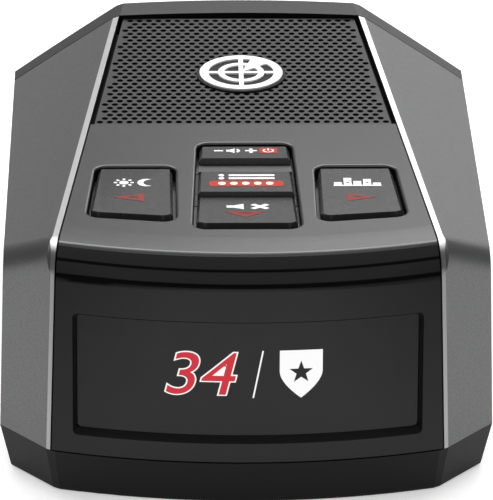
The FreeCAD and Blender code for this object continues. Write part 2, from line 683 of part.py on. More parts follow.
def switch_plunger(name):
    x, y = STEMS[name]
    return rod(0.8, x, y, PLUNGER_TOP - 1.3, PLUNGER_TOP - 0.02)


def leaning(shape):
    """Moves a shape drawn about the window's centre (Y is depth) onto the leaning face."""
    shape.rotate(vec(0, 0, 0), vec(1, 0, 0), -math.degrees(math.atan(LEAN)))
    shape.translate(vec(0, FRONT_Y + (WINDOW_MID - BASE_H) * LEAN, WINDOW_MID))
    return shape


def display_gasket():
    """Foam frame between the window and the display."""
    gasket = window_block(0.2, BEZEL_T + 1.25, BEZEL_T + 1.75)
    return gasket.cut(window_block(2.0, BEZEL_T, BEZEL_T + 3.0))


def oled_display():
    return leaning(box(-20.5, 20.5, 6.7, 8.1, -8.3, 8.3))


def display_frame():
    """Frame that holds the display and its board against the chassis."""
    frame = box(-22.0, 22.0, 6.6, 9.6, -9.4, 9.2)
    frame = frame.cut(box(-20.6, 20.6, 0, 8.15, -8.4, 8.4))
    return leaning(frame.cut(box(-19.0, 19.0, 8.0, 12.0, -7.4, 7.4)))


def display_board():
    return leaning(box(-18.6, 18.6, 8.3, 9.3, -7.2, 7.2))


def display_ribbon():
    """Flat cable from the display board to the main board: level, one bend, then down."""
    return ribbon(-39.9, -32.0, 11.2, BOARD_TOP + 1.4, 6.0)


def ribbon(y0, y1, z0, z1, half):
    """Flat cable bent once through a quarter turn; a small radius and constant thickness."""
    bend, thick = 2.0, 0.3
    mid = math.sqrt(0.5)
    inner, outer = bend, bend + thick
    cy, cz = y1 - bend, z0 - bend
    top = [vec(0, y0, z0 + thick), vec(0, cy, z0 + thick)]
    arc_out = Part.Arc(top[1], vec(0, cy + outer * mid, cz + outer * mid), vec(0, y1 + thick, cz))
    down = [vec(0, y1 + thick, cz), vec(0, y1 + thick, z1), vec(0, y1, z1), vec(0, y1, cz)]
    arc_in = Part.Arc(down[-1], vec(0, cy + inner * mid, cz + inner * mid), vec(0, cy, z0))
    last = [vec(0, cy, z0), vec(0, y0, z0), top[0]]
    lines = [Part.makeLine(a, b) for run in (top, down, last) for a, b in zip(run, run[1:])]
    wire = Part.Wire(Part.__sortEdges__(lines + [arc_out.toShape(), arc_in.toShape()]))
    strip = Part.Face(wire).extrude(vec(2 * half, 0, 0))
    strip.translate(vec(-half, 0, 0))
    return strip


def button_ribbon():
    """Flat cable from the button board, through the deck, down to the main board."""
    return ribbon(-9.15, -6.2, KEY_BOARD_TOP + 0.05, BOARD_TOP + 1.4, 5.0)


def main_board():
    return box(-24.0, 24.0, -42.0, 38.0, BOARD_Z, BOARD_TOP).cut(
        Part.makeCompound([rod(1.2, x, y, 0, 10) for x, y in BOARD_SCREWS]))


def board_connectors():
    """Connectors of the two flat cables."""
    front = box(-7.5, 7.5, -33.3, -30.4, BOARD_TOP, BOARD_TOP + 1.3)
    rear = box(-6.5, 6.5, -8.2, -5.4, BOARD_TOP, BOARD_TOP + 1.3)
    return Part.makeCompound([front, rear])


def board_components():
    """Processor, memory, regulator, coil, capacitors and small chips on the main board."""
    chips = [(-11, -22, 10, 10, 1.2), (6, -24, 6, 5, 1.0), (15, -20, 5, 4, 1.1), (-17, 0, 4, 6, 1.6),
             (15, -9, 7, 7, 3.2), (-18, 12, 5, 4, 1.2), (-19, -8, 3, 1.6, 0.9), (8, -16, 3, 1.6, 0.9),
             (-4, -13, 3, 1.6, 0.9), (17.5, 3, 3, 1.6, 0.9), (-19, 22, 4, 4, 1.1)]
    parts = [box(x - w / 2, x + w / 2, y - d / 2, y + d / 2, BOARD_TOP, BOARD_TOP + h)
             for x, y, w, d, h in chips]
    for x, y in ((20.0, -14.0), (20.0, -3.0), (-20.0, -16.0)):
        parts.append(rod(2.0, x, y, BOARD_TOP, BOARD_TOP + 5.5))
    return Part.makeCompound(parts)


def rf_shield():
    """Tin can over the receiver, open below."""
    can = box(-8.5, 8.5, -3.5, 10.5, BOARD_TOP + 0.02, BOARD_TOP + 4.2)
    return can.cut(box(-8.1, 8.1, -3.1, 10.1, BOARD_TOP - 1, BOARD_TOP + 3.8))


def pyramid(y0, half0, z0, y1, half1, z1):
    """Solid that widens from one upright rectangle to another."""
    def frame(y, half, z):
        corners = [vec(-half, y, z[0]), vec(half, y, z[0]), vec(half, y, z[1]), vec(-half, y, z[1])]
        return Part.makePolygon(corners + corners[:1])

    return Part.makeLoft([frame(y0, half0, z0), frame(y1, half1, z1)], True, True)


def horn_antenna():
    """Cast horn: a flared rectangular mouth towards the road, a throat and a closed back."""
    low, high = HORN_Z
    middle = (low + high) / 2
    flare = pyramid(HORN_BACK, 8.0, (middle - 4.5, middle + 4.5), HORN_MOUTH, 15.5, (low, high))
    back = box(-8.0, 8.0, HORN_BACK - 1.0, HORN_BACK + 3, low, middle + 4.5)
    throat = pyramid(HORN_BACK, 5.4, (middle - 2.7, middle + 2.7), HORN_MOUTH + 0.01, 14.2,
                     (low + 1.2, high - 1.2))
    foot = box(-12.0, 12.0, 16.0, 20.0, low, low + 1.6)
    saddle = box(-7.0, 7.0, 34.6, 38.4, high - 0.9, high + 0.2)
    return joined([flare, back, foot, saddle]).cut(throat)


def laser_sensor_board():
    return box(-6.0, 6.0, 36.0, 37.2, HORN_Z[1] + 0.2, 26.2)


def laser_sensor_lens():
    """Small clear dome over the photodiode."""
    dome = Part.makeSphere(3.0, vec(0, 37.0, 23.2))
    return dome.common(box(-5, 5, 37.2, 45, 15, 30))


def speaker_frame():
    """Basket: flange on the deck, sloping wall and bottom ring."""
    z, r = DECK_TOP + 0.1, SPEAKER_R
    return turned([(r, z), (r, z + 1), (r - 2.6, z + 1), (r - 2.6, z + 0.3), (7.0, z - 3.4),
                   (7.0, z - 4.1), (4.0, z - 4.1), (4.0, z - 5.1), (8.0, z - 5.1), (8.0, z - 3.9),
                   (r - 1.6, z)], 0, SPEAKER_Y)


def speaker_cone():
    """Paper cone with its roll surround and dust cap."""
    z, r = DECK_TOP + 1.15, SPEAKER_R
    return turned([(r - 0.4, z), (r - 0.4, z + 0.4), (r - 2.4, z + 0.4), (r - 3.4, z + 1.0), (r - 4.4, z + 0.4),
                   (4.2, z - 1.7), (0, z - 0.5), (0, z - 0.9), (4.1, z - 2.2), (r - 4.2, z - 0.05),
                   (r - 3.4, z + 0.5), (r - 2.6, z)], 0, SPEAKER_Y)


def speaker_magnet():
    return rod(7.0, 0, SPEAKER_Y, HORN_Z[1] + 0.6, DECK_TOP - 5.1)


def speaker_gasket():
    """Foam ring between the speaker and the dust cloth."""
    z0, z1 = DECK_TOP + 1.6, HEIGHT - GRILLE_SUNK - GRILLE_T - 0.35
    r = SPEAKER_R
    return turned([(r - 2.2, z0), (r - 0.4, z0), (r - 0.4, z1), (r - 2.2, z1)], 0, SPEAKER_Y)


def power_jack():
    """Round low-voltage socket: a block on the main board with a nose through the right panel."""
    block = box(20.0, 31.4, JACK_Y - 4.5, JACK_Y + 4.5, BOARD_TOP, JACK_Z + 4.6)
    nose = Part.makeCylinder(JACK_NOSE_R, 3.1, vec(31.3, JACK_Y, JACK_Z), vec(1, 0, 0))
    bore = Part.makeCylinder(JACK_BORE_R, 12, vec(24.5, JACK_Y, JACK_Z), vec(1, 0, 0))
    pin_seat = Part.makeCylinder(JACK_PIN_R, 3.0, vec(22.0, JACK_Y, JACK_Z), vec(1, 0, 0))
    return joined([block, nose]).cut(bore).cut(pin_seat)


def power_jack_pin():
    pin = Part.makeCylinder(JACK_PIN_R, 9.6, vec(22.0, JACK_Y, JACK_Z), vec(1, 0, 0))
    tip = [e for e in pin.Edges if e.BoundBox.XMin > 31]
    return pin.makeChamfer(0.4, tip)


def bracket_receiver():
    """Pocket behind the slot in the rear cover, for the tongue of a windscreen bracket."""
    mouth = 42.0
    z0, z1 = SLOT_Z
    shell = box(-SLOT_HALF - 1.4, SLOT_HALF + 1.4, mouth - SLOT_DEPTH, mouth, z0 - 1.2, z1 + 1.2)
    return shell.cut(box(-SLOT_HALF, SLOT_HALF, mouth - SLOT_DEPTH + 1.4, mouth + 1, z0, z1))


def screw(x, y, head_z, head_r, head_h, shank_r, length, up):
    """Pan-head screw with a cross recess; up is +1 when the tip points up."""
    head = rod(head_r, 0, 0, 0, head_h)
    rim = [e for e in head.Edges if e.BoundBox.ZMax < 0.01]
    head = head.makeFillet(head_h * 0.4, rim)
    slot = box(-head_r * 0.6, head_r * 0.6, -0.3, 0.3, -1, head_h * 0.55)
    cross = slot.fuse(box(-0.3, 0.3, -head_r * 0.6, head_r * 0.6, -1, head_h * 0.55))
    body = joined([head.cut(cross), rod(shank_r, 0, 0, head_h, head_h + length)])
    if up < 0:
        body.rotate(vec(0, 0, 0), vec(1, 0, 0), 180)
    body.translate(vec(x, y, head_z))
    return body


def case_screws():
    return Part.makeCompound([screw(x, y, 1.1, 2.5, 1.85, 1.25, 10.0, 1) for x, y in CASE_SCREWS])


def board_screws():
    top = BOARD_TOP + 1.25
    return Part.makeCompound([screw(x, y, top, 1.9, 1.2, 1.0, 3.6, -1) for x, y in BOARD_SCREWS])


KEYS = key_outlines()
FLANGES = flange_outlines()
STEMS = {"vol": (0, -11.5), "menu": (0, -20.0), "mute": (0, -30.4), "dim": (-16.2, -24.6),
         "city": (16.2, -24.6)}
# Side view of each key's top: distance forward from its rear edge, and height over the top panel
KEY_TOPS = {
    "vol": [(0, -0.25), (5.8, 0.5)],
    "menu": [(0, -0.6), (3.3, 0.0), (10.6, 0.3)],
    "mute": [(0, -0.5), (10.0, 0.3)],
    "dim": [(0, -0.2), (16.7, 0.3)],
    "city": [(0, -0.2), (16.7, 0.3)],
}
HULL = hull()
HULL_INSIDE = hull(SKIN)
HULL_FIT = hull(0.3)
CHASSIS_ROOM = hull(SKIN + 0.4)
SIDE_PANEL = side_panel_right()

NODES = {
    "top_panel": top_panel,
    "speaker_grille": speaker_grille,
    "grille_emblem": grille_emblem,
    "grille_cloth": grille_cloth,
    "left_side_panel": left_side_panel,
    "right_side_panel": right_side_panel,
    "rear_cover": rear_cover,
    "rear_lens": rear_lens,
    "front_bezel": front_bezel,
    "display_window": display_window,
    "display_gasket": display_gasket,
    "oled_display": oled_display,
    "display_frame": display_frame,
    "display_board": display_board,
    "display_ribbon": display_ribbon,
    "bottom_case": bottom_case,
    "label_plate": label_plate,
    "chassis": chassis,
    "button_board": button_board,
    "tact_switches": tact_switches,
    "button_ribbon": button_ribbon,
    "main_board": main_board,
    "board_connectors": board_connectors,
    "board_components": board_components,
    "rf_shield": rf_shield,
    "horn_antenna": horn_antenna,
    "laser_sensor_board": laser_sensor_board,
    "laser_sensor_lens": laser_sensor_lens,
    "speaker_frame": speaker_frame,
    "speaker_cone": speaker_cone,
    "speaker_magnet": speaker_magnet,
    "speaker_gasket": speaker_gasket,
    "power_jack": power_jack,
    "power_jack_pin": power_jack_pin,
    "bracket_receiver": bracket_receiver,
    "case_screws": case_screws,
    "board_screws": board_screws,
}


def main():
    os.makedirs("parts", exist_ok=True)
    shapes = {name: make() for name, make in NODES.items()}
    for name in KEYS:
        shapes["button_" + name] = key(name, KEY_TOPS[name])
        shapes["switch_plunger_" + name] = switch_plunger(name)
    for name, shape in shapes.items():
        shape.exportStep(os.path.join("parts", name + ".step"))
        print(name, len(shape.Solids), round(shape.Volume, 1), shape.isValid())


main()
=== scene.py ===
import bpy
import bmesh
import json
import math
from mathutils import Matrix, Vector
from mathutils.bvhtree import BVHTree


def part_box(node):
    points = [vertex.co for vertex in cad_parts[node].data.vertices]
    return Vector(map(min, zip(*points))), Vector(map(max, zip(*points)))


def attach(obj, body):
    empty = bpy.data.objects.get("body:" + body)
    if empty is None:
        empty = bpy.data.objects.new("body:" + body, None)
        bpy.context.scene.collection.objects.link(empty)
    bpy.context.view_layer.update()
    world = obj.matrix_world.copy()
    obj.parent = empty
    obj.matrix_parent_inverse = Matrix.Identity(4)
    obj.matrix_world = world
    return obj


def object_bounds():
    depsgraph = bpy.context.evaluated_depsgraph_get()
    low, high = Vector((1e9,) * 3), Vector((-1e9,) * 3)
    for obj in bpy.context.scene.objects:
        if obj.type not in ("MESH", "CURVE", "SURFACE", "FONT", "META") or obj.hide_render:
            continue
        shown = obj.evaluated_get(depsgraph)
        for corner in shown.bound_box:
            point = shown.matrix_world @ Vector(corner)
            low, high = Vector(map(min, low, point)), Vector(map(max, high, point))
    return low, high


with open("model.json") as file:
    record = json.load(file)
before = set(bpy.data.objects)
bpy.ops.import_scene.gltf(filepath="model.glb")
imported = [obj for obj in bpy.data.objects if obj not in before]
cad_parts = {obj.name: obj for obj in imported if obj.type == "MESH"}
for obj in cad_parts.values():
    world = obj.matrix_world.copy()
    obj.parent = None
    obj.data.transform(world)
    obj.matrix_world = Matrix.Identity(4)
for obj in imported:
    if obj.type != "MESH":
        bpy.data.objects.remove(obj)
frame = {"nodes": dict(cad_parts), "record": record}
cad_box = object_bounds()
NODES = frame["nodes"]
MM = 0.001
GRILLE_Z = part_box("speaker_grille")[1].z


# ---------------------------------------------------------------- materials

SPREAD_KEYS = ("From Min", "From Max", "To Min", "To Max")
WHOLE = (0.3, 0.7)             # where most of a noise texture's values lie
BROAD = (0.35, 0.65)
MOTTLE = 0.02                  # share of the lighter tone in broad patches
SMEAR = 0.02                   # how uneven a painted surface's gloss is


class Nodes:
    """Short ways to add and link shader nodes in one material."""

    def __init__(self, name):
        self.material = bpy.data.materials.new(name)
        self.material.use_nodes = True
        self.tree = self.material.node_tree
        self.shader = self.tree.nodes["Principled BSDF"]
        self.place = self.add("ShaderNodeTexCoord").outputs["Object"]

    def add(self, kind, **settings):
        node = self.tree.nodes.new(kind)
        for key, value in settings.items():
            setattr(node, key, value)
        return node

    def link(self, source, target):
        self.tree.links.new(source, target)

    def noise(self, scale, detail=2.0, roughness=0.5, stretch=None):
        node = self.add("ShaderNodeTexNoise")
        node.inputs["Scale"].default_value = scale
        node.inputs["Detail"].default_value = detail
        node.inputs["Roughness"].default_value = roughness
        if stretch:
            mapping = self.add("ShaderNodeMapping")
            mapping.inputs["Scale"].default_value = stretch
            self.link(self.place, mapping.inputs["Vector"])
            self.link(mapping.outputs["Vector"], node.inputs["Vector"])
        else:
            self.link(self.place, node.inputs["Vector"])
        return node.outputs["Fac"]

    def split(self, vector):
        """The X, Y and Z outputs of a vector."""
        node = self.add("ShaderNodeSeparateXYZ")
        self.link(vector, node.inputs[0])
        return node.outputs

    def spread(self, value, low, high, out_low, out_high):
        """Value between low and high, carried to between out_low and out_high."""
        node = self.add("ShaderNodeMapRange")
        for key, number in zip(SPREAD_KEYS, (low, high, out_low, out_high)):
            node.inputs[key].default_value = number
        self.link(value, node.inputs["Value"])
        return node.outputs["Result"]

    def math(self, operation, first, second):
        node = self.add("ShaderNodeMath", operation=operation)
        self.link(first, node.inputs[0])
        self.link(second, node.inputs[1])
        return node.outputs[0]

    def times(self, first, second):
        return self.math("MULTIPLY", first, second)

    def most(self, first, second):
        return self.math("MAXIMUM", first, second)

    def size(self, value):
        """Value without its sign."""
        node = self.add("ShaderNodeMath", operation="ABSOLUTE")
        self.link(value, node.inputs[0])
        return node.outputs[0]

    def mix(self, factor, first, second):
        node = self.add("ShaderNodeMix", data_type="RGBA")
        for socket, value in ((node.inputs[6], first), (node.inputs[7], second)):
            if isinstance(value, tuple):
                socket.default_value = value + (1.0,)
            else:
                self.link(value, socket)
        self.link(factor, node.inputs[0])
        return node.outputs[2]

    def bump(self, height, strength, distance):
        node = self.add("ShaderNodeBump")
        node.inputs["Strength"].default_value = strength
        node.inputs["Distance"].default_value = distance
        self.link(height, node.inputs["Height"])
        self.link(node.outputs["Normal"], self.shader.inputs["Normal"])

    def set(self, **values):
        for key, value in values.items():
            self.shader.inputs[key.replace("_", " ")].default_value = value


def toned(color, factor):
    return tuple(min(1.0, c * factor) for c in color)


def surface(name, color, rough, metallic=0.0, grain=4200.0, grain_tone=0.06, grain_bump=0.05, **extra):
    """Painted or moulded surface: fine grain, broad tone changes, uneven gloss and a fine bump."""
    nodes = Nodes(name)
    fine = nodes.noise(grain, 3.0, 0.65)
    broad = nodes.noise(90.0, 3.0, 0.5)
    gloss = nodes.noise(900.0, 4.0, 0.6)
    speckled = nodes.mix(nodes.spread(fine, *WHOLE, 0.0, 1.0), toned(color, 1 - grain_tone),
                         toned(color, 1 + grain_tone))
    worn = nodes.mix(nodes.spread(broad, *BROAD, 0.0, MOTTLE), speckled, toned(color, 1.6))
    nodes.link(worn, nodes.shader.inputs["Base Color"])
    nodes.link(nodes.spread(gloss, *WHOLE, rough - SMEAR, rough + SMEAR), nodes.shader.inputs["Roughness"])
    nodes.bump(fine, grain_bump, 0.04 * MM)
    nodes.set(Metallic=metallic, **extra)
    return nodes.material


def glossy(name, color, rough, **extra):
    """Polished plastic: barely uneven gloss and tone, and a faint waviness."""
    nodes = Nodes(name)
    tone = nodes.noise(60.0, 2.0, 0.5)
    gloss = nodes.noise(400.0, 4.0, 0.7)
    nodes.link(nodes.mix(tone, toned(color, 0.9), toned(color, 1.1)), nodes.shader.inputs["Base Color"])
    nodes.link(nodes.spread(gloss, *WHOLE, rough * 0.8, rough * 1.5), nodes.shader.inputs["Roughness"])
    nodes.bump(nodes.noise(70.0, 1.0, 0.4), 0.02, 0.03 * MM)
    nodes.set(**extra)
    return nodes.material


def brushed(name, color, rough, along):
    """Metal with fine lines; along gives how much the noise is stretched on each axis."""
    nodes = Nodes(name)
    line = nodes.noise(9000.0, 2.0, 0.6, stretch=along)
    nodes.link(nodes.mix(line, toned(color, 0.9), toned(color, 1.1)), nodes.shader.inputs["Base Color"])
    nodes.link(nodes.spread(line, *WHOLE, rough * 0.8, rough * 1.2), nodes.shader.inputs["Roughness"])
    nodes.bump(line, 0.08, 0.02 * MM)
    nodes.set(Metallic=1.0)
    return nodes.material


# Plane between the middle of the top and the side panels: three points in millimetres
PARTING = [Vector((26.5, -41.0, 37.15)), Vector((18.2, 39.2, 37.15)), Vector((27.7, -46.1, 6.9))]
STRIP_WIDTHS = (0.78 * MM, 1.3 * MM)   # below the bend and on the top
STRIP_BEND = (35.9 * MM, 36.8 * MM)    # heights between which the strip bends
STRIP_FADE = 0.06 * MM


def grey(level):
    return (level, level, level)


def strip_metal(paint):
    """Satin metal along the parting plane, with painted shade that makes it darker below the bend; beyond
    its width there is paint.
    """
    nodes = Nodes("strip_metal")
    normal = (PARTING[2] - PARTING[0]).cross(PARTING[1] - PARTING[0]).normalized()
    place = nodes.split(nodes.place)
    right_half = nodes.add("ShaderNodeCombineXYZ")
    nodes.link(nodes.size(place["X"]), right_half.inputs["X"])
    nodes.link(place["Y"], right_half.inputs["Y"])
    nodes.link(place["Z"], right_half.inputs["Z"])
    dot = nodes.add("ShaderNodeVectorMath", operation="DOT_PRODUCT")
    dot.inputs[1].default_value = normal
    nodes.link(right_half.outputs["Vector"], dot.inputs[0])
    width = nodes.spread(place["Z"], *STRIP_BEND, *STRIP_WIDTHS)
    excess = nodes.math("SUBTRACT", dot.outputs["Value"], width)
    plane = normal.dot(PARTING[0]) * MM
    beyond = nodes.spread(excess, plane, plane + STRIP_FADE, 0.0, 1.0)
    line = nodes.noise(5200.0, 2.0, 0.6, stretch=(1.0, 0.3, 1.0))
    # Painted shade: the strip's metal tone is darker below the bend than on the top, where the light falls
    # differently
    painted_light_above_bend = nodes.spread(place["Z"], *STRIP_BEND, 0.0, 1.0)
    dark = nodes.mix(painted_light_above_bend, grey(0.26), grey(0.74))
    light = nodes.mix(painted_light_above_bend, grey(0.32), grey(0.84))
    nodes.link(nodes.mix(beyond, nodes.mix(line, dark, light), paint), nodes.shader.inputs["Base Color"])
    nodes.link(nodes.spread(beyond, 0.0, 1.0, 1.0, 0.7), nodes.shader.inputs["Metallic"])
    nodes.link(nodes.spread(line, *WHOLE, 0.3, 0.38), nodes.shader.inputs["Roughness"])
    nodes.bump(line, 0.05, 0.02 * MM)
    return nodes.material


def lit(name, color, strength):
    """Lit display segment: a glow that varies faintly from point to point."""
    nodes = Nodes(name)
    glow = nodes.noise(5000.0, 1.0, 0.5)
    nodes.link(nodes.mix(glow, toned(color, 0.05), toned(color, 0.06)), nodes.shader.inputs["Base Color"])
    nodes.link(nodes.mix(glow, toned(color, 0.92), color), nodes.shader.inputs["Emission Color"])
    nodes.set(Emission_Strength=strength, Roughness=0.4, Specular_IOR_Level=0.2)
    return nodes.material


def circuit(name):
    """Green solder resist with a network of slightly raised tracks."""
    nodes = Nodes(name)
    cells = nodes.add("ShaderNodeTexVoronoi")
    cells.inputs["Scale"].default_value = 900.0
    nodes.link(nodes.place, cells.inputs["Vector"])
    track = nodes.spread(cells.outputs["Distance"], 0.1, 0.5, 0.0, 1.0)
    nodes.link(nodes.mix(track, (0.02, 0.13, 0.06), (0.008, 0.07, 0.03)), nodes.shader.inputs["Base Color"])
    nodes.link(nodes.spread(nodes.noise(500.0), *WHOLE, 0.28, 0.42), nodes.shader.inputs["Roughness"])
    nodes.bump(track, 0.1, 0.05 * MM)
    return nodes.material


def woven(name, color):
    """Open cloth: crossed threads."""
    nodes = Nodes(name)
    threads = []
    for direction in ("X", "Y"):
        wave = nodes.add("ShaderNodeTexWave", bands_direction=direction)
        wave.inputs["Scale"].default_value = 900.0
        nodes.link(nodes.place, wave.inputs["Vector"])
        threads.append(wave.outputs["Fac"])
    weave = nodes.times(*threads)
    nodes.link(nodes.mix(weave, toned(color, 0.5), toned(color, 1.5)), nodes.shader.inputs["Base Color"])
    nodes.bump(weave, 0.3, 0.06 * MM)
    nodes.set(Roughness=0.9)
    return nodes.material


PANEL_PAINT = (0.1, 0.1, 0.102)
KEY_PLASTIC = (0.088, 0.088, 0.09)
MATERIALS = {
    "panel_paint": surface("panel_paint", PANEL_PAINT, 0.34, metallic=0.7, grain_tone=0.2, grain_bump=0.1),
    "top_paint": surface("top_paint", (0.082, 0.082, 0.084), 0.25, metallic=0.6, grain_bump=0.02),
    "rim_plastic": surface("rim_plastic", grey(0.004), 0.5, grain_bump=0.2),
    "grille_metal": surface("grille_metal", (0.04, 0.04, 0.041), 0.36, metallic=0.6),
    "emblem_white": surface("emblem_white", grey(0.93), 0.35, grain_tone=0.02, grain_bump=0.02),
    "dust_cloth": woven("dust_cloth", grey(0.004)),
    "lens_tint": glossy("lens_tint", (0.012, 0.006, 0.006), 0.08, Coat_Weight=0.5),
    "bezel_gloss": glossy("bezel_gloss", (0.0035, 0.0035, 0.0037), 0.07, IOR=1.31),
    "window_smoke": glossy("window_smoke", (0.0045, 0.0045, 0.0048), 0.16, IOR=1.32),
    "foam": surface("foam", grey(0.012), 0.9, grain=1500.0, grain_tone=0.4, grain_bump=0.6),
    "display_glass": glossy("display_glass", (0.006, 0.006, 0.009), 0.03),
    "frame_plastic": surface("frame_plastic", grey(0.02), 0.55, grain_bump=0.2),
    "circuit_board": circuit("circuit_board"),
    "flat_cable": surface("flat_cable", (0.5, 0.22, 0.04), 0.3, grain=800.0, grain_tone=0.1),
    "base_plastic": surface("base_plastic", (0.004, 0.004, 0.0042), 0.5, grain_tone=0.2, grain_bump=0.15,
                            Specular_IOR_Level=0.15),
    "label_stock": surface("label_stock", (0.32, 0.32, 0.33), 0.35, grain_tone=0.03),
    "key_plastic": surface("key_plastic", KEY_PLASTIC, 0.26, metallic=0.6, grain_bump=0.02),
    "switch_plastic": surface("switch_plastic", grey(0.02), 0.5),
    "plunger_plastic": surface("plunger_plastic", (0.6, 0.6, 0.56), 0.5),
    "connector_plastic": surface("connector_plastic", (0.62, 0.6, 0.52), 0.5),
    "chip_plastic": surface("chip_plastic", (0.02, 0.02, 0.021), 0.45, grain_tone=0.2),
    "tin_plate": brushed("tin_plate", (0.62, 0.62, 0.6), 0.3, (1.0, 0.05, 1.0)),
    "cast_alloy": surface("cast_alloy", grey(0.5), 0.45, metallic=0.9, grain=1200.0, grain_bump=0.3),
    "clear_plastic": glossy("clear_plastic", grey(0.8), 0.04, Transmission_Weight=0.9),
    "pressed_steel": surface("pressed_steel", grey(0.02), 0.4),
    "cone_paper": surface("cone_paper", grey(0.025), 0.85, grain=900.0, grain_tone=0.4, grain_bump=0.5),
    "magnet": surface("magnet", grey(0.1), 0.5, metallic=0.6, grain=700.0, grain_bump=0.3),
    "socket_plastic": surface("socket_plastic", grey(0.012), 0.42),
    "plated_pin": brushed("plated_pin", (0.7, 0.68, 0.62), 0.2, (0.05, 1.0, 1.0)),
    "screw_steel": brushed("screw_steel", grey(0.18), 0.35, (1.0, 1.0, 0.05)),
}
STRIP = strip_metal(PANEL_PAINT)
# Painted shade: a near-black matte copy put on inward faces, on the walls of holes and gaps and on the
# rim's front face, where shade falls
PAINTED_SHADE_INSIDE = surface("painted_shade_inside", grey(0.004), 0.7, grain_tone=0.3, grain_bump=0.2,
                      Specular_IOR_Level=0.1)
# Painted shade: a dull near-black copy of the gloss bezel for the walls round the window, where shade falls
PAINTED_SHADE_RECESS = surface("painted_shade_recess", grey(0.0045), 0.5, grain_tone=0.2, Specular_IOR_Level=0.15)
PRINT_WHITE = surface("print_white", grey(0.93), 0.4, grain_tone=0.02, grain_bump=0.02)
PRINT_RED = surface("print_red", (0.42, 0.034, 0.016), 0.5, grain_tone=0.1, Specular_IOR_Level=0.2)
ARROW_RED = surface("arrow_red", (0.24, 0.03, 0.02), 0.5, grain_tone=0.1, Specular_IOR_Level=0.2)
# Partly painted shade: near-black for the emblem's raised backing, whose rim also stands for the shadow
# round the emblem
PAINTED_SHADE_BACKING = surface("painted_shade_backing", grey(0.004), 0.5, grain_tone=0.2, Specular_IOR_Level=0.2)
# Painted light: a lighter copy of the key plastic for the tops of the volume and mute keys, where the light
# falls brighter
KEY_PAINTED_LIGHT = surface("key_painted_light", (0.118, 0.118, 0.12), 0.26, metallic=0.6, grain_bump=0.02)
# Painted light: a lighter, duller copy of the key plastic for the slanted rear end of the list key
KEY_RAMP_PAINTED_LIGHT = surface("key_ramp_painted_light", (0.17, 0.17, 0.173), 0.4, metallic=0.6, grain_bump=0.02)
LIT_RED = lit("lit_red", (0.6, 0.025, 0.04), 1.0)
LIT_WHITE = lit("lit_white", grey(0.95), 1.0)

slot_of = {entry["node"]: entry["material_slot"] for entry in frame["record"]["subparts"]}
for name, node in NODES.items():
    node.data.materials.clear()
    node.data.materials.append(MATERIALS[slot_of[name]])


# ---------------------------------------------------------------- finish of the CAD pieces

KEY_EDGE = 0.22 * MM
KEY_MERGE, PLATE_MERGE = 1e-6, 1e-7    # metres; points closer than this are one


def rounded(node):
    """Small round on a key's sharp edges."""
    weld = node.modifiers.new("weld", "WELD")
    weld.merge_threshold = KEY_MERGE
    bevel = node.modifiers.new("round", "BEVEL")
    bevel.width = KEY_EDGE
    bevel.segments = 3
    bevel.limit_method = "ANGLE"
    bevel.angle_limit = math.radians(25.0)
    bevel.use_clamp_overlap = True
    bevel.harden_normals = True


def paint_faces(name, material, test):
    """Gives the faces whose centre and normal pass the test a material of their own."""
    mesh = NODES[name].data
    mesh.materials.append(material)
    for face in mesh.polygons:
        if test(face.center, face.normal):
            face.material_index = len(mesh.materials) - 1


# The bright strip beside the top: its flat stretch, its front stretch and the bend between them
STRIP_TOP = Vector((0.2908, 0.0301, 0.9563))
STRIP_FRONT = Vector((0.5311, -0.8434, 0.0819))
STRIP_AXIS = STRIP_TOP.cross(STRIP_FRONT).normalized()

# The window's opening in the bezel: half its width, and its lowest and highest point
WINDOW_HALF = 24.6 * MM
WINDOW_LOW, WINDOW_HIGH = 9.85 * MM, 28.05 * MM
RIM_FRONT = 39.8 * MM          # front of the rim behind the grille


def on_strip(normal):
    return abs(normal.dot(STRIP_AXIS)) < 0.02 and normal.dot(STRIP_TOP + STRIP_FRONT) > 0.95


def in_window(centre):
    return abs(centre.x) < WINDOW_HALF and WINDOW_LOW < centre.z < WINDOW_HIGH


# Each side panel: satin metal on its strip faces, and painted shade on its faces that turn inwards
for name, side in (("left_side_panel", -1), ("right_side_panel", 1)):
    paint_faces(name, STRIP, lambda centre, normal: on_strip(Vector((normal.x * side, normal.y, normal.z))))
    paint_faces(name, PAINTED_SHADE_INSIDE, lambda centre, normal: normal.x * side < 0.2)
# Painted shade on the walls of the window's recess
paint_faces("front_bezel", PAINTED_SHADE_RECESS, lambda centre, normal: in_window(centre) and normal.y > -0.9)
# Painted shade on the upright faces in front of the rim: the walls of holes and gaps
for name in ("top_panel", "speaker_grille", "rear_cover"):
    paint_faces(name, PAINTED_SHADE_INSIDE, lambda centre, normal: abs(normal.z) < 0.1 and centre.y < RIM_FRONT)
# Painted shade on the rear cover's faces that face forwards
paint_faces("rear_cover", PAINTED_SHADE_INSIDE, lambda centre, normal: normal.y < -0.5)
# Painted light on the slanted rear end of the list key
paint_faces("button_menu", KEY_RAMP_PAINTED_LIGHT, lambda centre, normal: normal.y > 0.1 and normal.z > 0.9)
# Painted light on the tops of the volume and mute keys
for name in ("button_vol", "button_mute"):
    paint_faces(name, KEY_PAINTED_LIGHT, lambda centre, normal: normal.z > 0.9)
for key in ("vol", "menu", "mute", "dim", "city"):
    rounded(NODES["button_" + key])


# ---------------------------------------------------------------- flat printed shapes

ABOVE, IN_FRONT = 0.1, -0.2    # metres; clear of the object, where rays towards it start


def piece(name, mesh, material, body):
    """New piece of one material that rides on a body."""
    mesh.materials.clear()
    mesh.materials.append(material)
    obj = bpy.data.objects.new(name, mesh)
    bpy.context.scene.collection.objects.link(obj)
    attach(obj, body)


